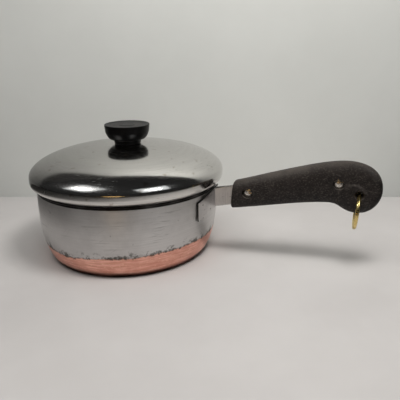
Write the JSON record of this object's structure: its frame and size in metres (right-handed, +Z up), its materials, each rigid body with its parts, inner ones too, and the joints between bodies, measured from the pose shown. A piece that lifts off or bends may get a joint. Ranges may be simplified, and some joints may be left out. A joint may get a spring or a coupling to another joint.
{
  "type": "saucepan",
  "caption": "Round steel saucepan with a copper-clad base, a domed lid with a moulded knob, and a long moulded handle with a hanging ring.",
  "frame": {"origin": "centre of the flat of the base, on the surface the pan stands on", "axes": "+Z up; +X from the pan's centre out along the handle; the handle's left half is on the +Y side"},
  "size_m": [0.2972, 0.165, 0.1108],
  "materials": {
    "pan_steel": "satin, worn",
    "lid_steel": "polished, smudged",
    "copper": "satin, tarnished at its upper edge",
    "bracket_steel": "satin",
    "handle_bakelite": "worn matte",
    "knob_bakelite": "semi-gloss",
    "screw_nickel": "worn nickel plate",
    "ring_brass": "polished, lightly tarnished",
    "stud_steel": "satin",
    "insert_brass": "satin"
  },
  "bodies": {
    "pan": {"pan_body": "pan_steel", "copper_base": "copper", "bracket_left": "bracket_steel", "bracket_right": "bracket_steel", "handle_left": "handle_bakelite", "handle_right": "handle_bakelite", "front_screw": "screw_nickel", "rear_screw": "screw_nickel", "front_nut": "screw_nickel", "rear_nut": "screw_nickel"},
    "lid": {"lid_shell": "lid_steel", "lid_knob": "knob_bakelite", "knob_stud": "stud_steel", "knob_insert": "insert_brass"},
    "ring": {"hanging_ring": "ring_brass"}
  },
  "joints": [
    {"name": "lid_lift", "type": "slide", "parent": "pan", "child": "lid", "axis": [0, 0, 1], "range_m": [0, 0.12]},
    {"name": "ring_swing", "type": "hinge", "parent": "pan", "child": "ring", "pos_m": [0.1973, 0, 0.0633], "axis": [0, 1, 0], "range_deg": [-156, 59]}
  ]
}
